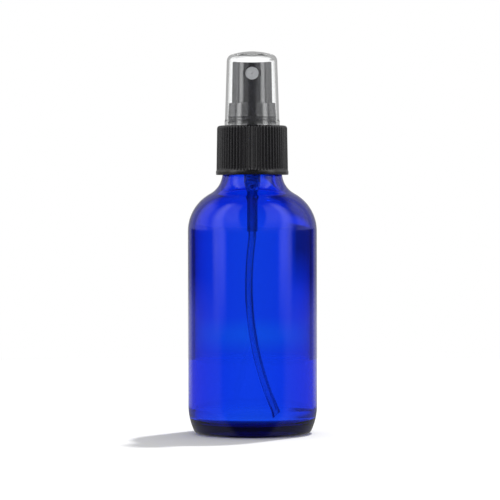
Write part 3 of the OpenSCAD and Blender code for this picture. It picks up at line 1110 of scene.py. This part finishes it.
@dataclass
class ClearOvercap:
    """The clear moulded cap over the button."""

    low: float
    top: float
    rim_r: float
    wall: float = 0.9 * MM
    rim_h: float = 1.8 * MM
    rim_step: float = 0.15 * MM
    taper: float = 0.72 * MM
    corner_r: float = 2.6 * MM
    crown: float = 1 * MM
    gate_r: float = 1.4 * MM
    gate_sink: float = 0.12 * MM

    def skin(self, inset: float) -> list[Point]:
        """Outline of the cap's side, corner and crown, up to the gate mark.

        Args:
            inset: Depth of the skin under the outside.

        Returns:
            The points from the rim up to the gate mark's edge.
        """
        corner_c = self.rim_r - self.rim_step - self.taper - self.corner_r
        corner_z = self.top - self.crown - self.corner_r
        round_r = self.corner_r - inset
        last = math.radians(70)
        rim = corner_c + round_r * math.cos(last)
        foot = corner_z + round_r * math.sin(last)
        top = dome(rim, foot, self.top - inset - foot, 16)
        return [
            *arc((corner_c, corner_z), round_r, 0, 70, 12),
            *(p for p in top[1:] if p[0] > self.gate_r + 0.2 * MM),
        ]

    def build(self) -> bpy.types.Object:
        """Turn the cap, with the mark where its plastic was let in.

        Returns:
            The cap.
        """
        foot = self.rim_r - self.rim_step
        bore = foot - self.wall
        step_z = self.low + self.rim_h
        lip = 0.2 * MM
        sunk = self.top - self.gate_sink
        under = self.top - self.wall
        inside = [
            (0, under), *reversed(self.skin(self.wall)), (bore, step_z),
            (bore + 0.1 * MM, self.low + lip), (bore + 0.1 * MM + lip, self.low),
        ]
        outside = [
            (self.rim_r - lip, self.low), (self.rim_r, self.low + lip),
            (self.rim_r, step_z - 0.1 * MM), (self.rim_r - 0.04 * MM, step_z),
            (foot, step_z + 0.3 * MM), *self.skin(0.0),
            (self.gate_r + 0.1 * MM, self.top - 0.02 * MM),
            (self.gate_r - 0.05 * MM, self.top - 0.05 * MM),
            (self.gate_r - 0.25 * MM, sunk), (0, sunk),
        ]
        cap = turn("clear_overcap", inside + outside, 144)
        smooth(cap, 40)
        return cap

    def finish(self) -> None:
        """Build the cap, dress it and set it in the model."""
        stand_for(self.build(), CLEAR, "overcap", Part.OVERCAP)


# Studio


@dataclass(frozen=True)
class Softbox:
    """A pair of soft panels, left and right, as they show in gloss. Angles in degrees."""

    bearing: float
    half_width: float
    low: float
    high: float
    bright: float
    soft: float = 8.0
    soft_low: float = 1.5
    soft_high: float = 12.0


@dataclass
class Studio:
    """The pale table, the white surroundings, the key light and the camera."""

    distance: float = 0.98
    eye_height: float = 0.09
    aim: Vector = Vector((-0.0009, 0, 0.0691))
    lens: float = 187.5
    roll: float = -0.12
    key_travel: Vector = Vector((-0.26, -0.33, -1))
    key_strength: float = 1.9
    key_angle: float = 3.0
    surround: float = 1.17
    ambient: tuple[float, float] = (0.55, 0.85)
    # The line at the table's far edge, and a dark card behind and to the right, which only the
    # glass shows: start and end of each, and the fades before and after it, in degrees
    band: tuple[float, ...] = (-3.15, -3.0, 0.32, 0.32)
    card: tuple[float, ...] = (7.0, 60.0, 3.0, 8.0)
    card_low: tuple[float, ...] = (-1.2, 1.1, 1.0, 0.3)
    card_high: tuple[float, ...] = (6.0, 70.0, 3.0, 8.0)
    band_tint: Colour = (1.1, 1.6, 1.03, 1.0)
    table_depth: float = 0.45
    gloom: float = 0.06
    lean: float = 0.35
    card_dark: float = 0.7
    panels: tuple[Softbox, ...] = (
        Softbox(62, 8, -1.2, 58, 0.85, 8, 1.9), Softbox(42, 23, 30, 62, 0.6, 6, 31),
        Softbox(98, 20, 12, 40, 0.3, 8, 13), Softbox(180, 34, -4, 35, 0.35, 10),
        Softbox(115, 25, 1.9, 40, 0.35, 6, 0.4), Softbox(125, 60, -60, -2.7, 0.22, 10, 1, 0.9),
    )

    def floor(self) -> None:
        """Lay the pale table, which takes the shadow but does not show in the glass."""
        deselect()
        bpy.ops.mesh.primitive_circle_add(vertices=96, radius=self.table_depth, fill_type="NGON")
        table = bpy.context.object
        table.name = "table"
        material = bpy.data.materials.new("table_white")
        material.use_nodes = True
        sketch = Sketch(material.node_tree)
        shader = sketch.add("ShaderNodeBsdfDiffuse", {"Color": (0.93, 0.93, 0.93, 1)})
        sketch.add("ShaderNodeOutputMaterial", {"Surface": shader.outputs["BSDF"]})
        table.data.materials.append(material)
        table.visible_glossy = False

    def world(self) -> None:
        """Surround the bottle with white, and with soft panels for its gloss."""
        world = bpy.data.worlds.new("studio")
        bpy.context.scene.world = world
        world.cycles.sampling_method = "NONE"
        world.use_nodes = True
        sketch = Sketch(world.node_tree)
        way = sketch.add("ShaderNodeTexCoord").outputs["Generated"]
        split = sketch.add("ShaderNodeSeparateXYZ", {"Vector": way}).outputs
        height = sketch.calc("ARCSINE", split["Z"])
        bearing = sketch.calc("ARCTAN2", split["X"], sketch.calc("MULTIPLY", split["Y"], -1.0))
        leaning = sketch.calc("MULTIPLY", height, self.lean)
        side = sketch.calc("SUBTRACT", sketch.calc("ABSOLUTE", bearing), leaning)
        glow = self.gloom
        for panel in self.panels:
            away = sketch.calc("SUBTRACT", side, math.radians(panel.bearing))
            ends = radians(panel.half_width, panel.half_width + panel.soft)
            across = sketch.remap(sketch.calc("ABSOLUTE", away), *ends, 1, 0)
            up = sketch.window(height, *radians(panel.low, panel.high, panel.soft_low,
                                                panel.soft_high))
            lit = sketch.calc("MULTIPLY", across, up)
            glow = sketch.calc("MULTIPLY_ADD", lit, panel.bright, glow)
        ambient = sketch.remap(split["Y"], -0.4, 0.4, *self.ambient)
        band = sketch.window(height, *radians(*self.band))
        path = sketch.add("ShaderNodeLightPath").outputs
        straight = path["Is Camera Ray"]
        through = sketch.choose(path["Glossy Depth"], band, 0.0)
        tint = sketch.blend(sketch.choose(straight, through, 0.0), (1.0, 1.0, 1.0, 1.0),
                            self.band_tint)
        behind = sketch.calc("ARCTAN2", split["X"], split["Y"])
        beside = sketch.window(behind, *radians(*self.card))
        lower = sketch.window(height, *radians(*self.card_low))
        upper = sketch.window(height, *radians(*self.card_high))
        shade = sketch.calc("MULTIPLY", beside, sketch.calc("ADD", lower, upper))
        around = sketch.remap(shade, 0.0, 1.0, self.surround, self.surround * (1 - self.card_dark))
        mirrored = sketch.choose(path["Glossy Depth"], around, glow)
        strength = sketch.choose(path["Diffuse Depth"], mirrored, ambient)
        strength = sketch.choose(straight, strength, 1.0)
        shown = sketch.add("ShaderNodeBackground", {"Color": tint, "Strength": strength})
        sketch.add("ShaderNodeOutputWorld", {"Surface": shown.outputs[0]})

    def key(self) -> None:
        """Hang the key light that throws the soft shadow."""
        bpy.ops.object.light_add(type="SUN", location=(0.3, 0.4, 1))
        lamp = bpy.context.object
        lamp.name = "key_light"
        lamp.rotation_euler = self.key_travel.to_track_quat("-Z", "Y").to_euler()
        lamp.data.energy = self.key_strength
        lamp.data.angle = math.radians(self.key_angle)
        lamp.visible_glossy = False

    def camera(self) -> None:
        """Set the camera at eye height in front of the bottle."""
        eye = Vector((self.aim.x, -self.distance, self.eye_height))
        bpy.ops.object.camera_add(location=eye)
        camera = bpy.context.object
        camera.data.lens = self.lens
        camera.rotation_euler = (self.aim - eye).to_track_quat("-Z", "Y").to_euler()
        camera.rotation_euler.rotate_axis("Z", math.radians(self.roll))
        bpy.context.scene.camera = camera

    def finish(self) -> None:
        """Set up the whole studio."""
        self.floor()
        self.world()
        self.key()
        self.camera()
        scene = bpy.context.scene
        scene.view_settings.view_transform = "Standard"
        scene.cycles.max_bounces = 32
        scene.cycles.transmission_bounces = 32
        scene.cycles.glossy_bounces = 16
        scene.cycles.diffuse_bounces = 6
        scene.cycles.volume_bounces = 0
        scene.cycles.transparent_max_bounces = 16


def main() -> None:
    """Build, dress and place every piece, and set up the studio."""
    logging.basicConfig(level=logging.INFO, format="%(name)s: %(message)s")
    _, glass_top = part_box("bottle")
    GlassBottle(body_r=glass_top.x, height=glass_top.z).finish()
    _, tube_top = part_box("dip_tube")
    housing_low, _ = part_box("pump_housing")
    DipTube(top=tube_top.z, bends_from=housing_low.z - 0.1 * MM).finish()
    spring_low, spring_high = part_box("return_spring")
    PumpInside(spring_low=spring_low.z, spring_high=spring_high.z).finish()
    collar_low, collar_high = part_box("screw_collar")
    ScrewCollar(low=collar_low.z, top=collar_high.z, foot_r=collar_high.x).finish()
    button_low, button_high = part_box("actuator")
    insert_low, insert_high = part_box("nozzle_insert")
    SprayButton(low=button_low.z, top=button_high.z, skirt_r=button_high.x,
                nozzle_z=(insert_low.z + insert_high.z) / 2).finish()
    cap_low, cap_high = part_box("overcap")
    ClearOvercap(low=cap_low.z, top=cap_high.z, rim_r=cap_high.x).finish()
    Studio().finish()


if __name__ == "__main__":
    main()
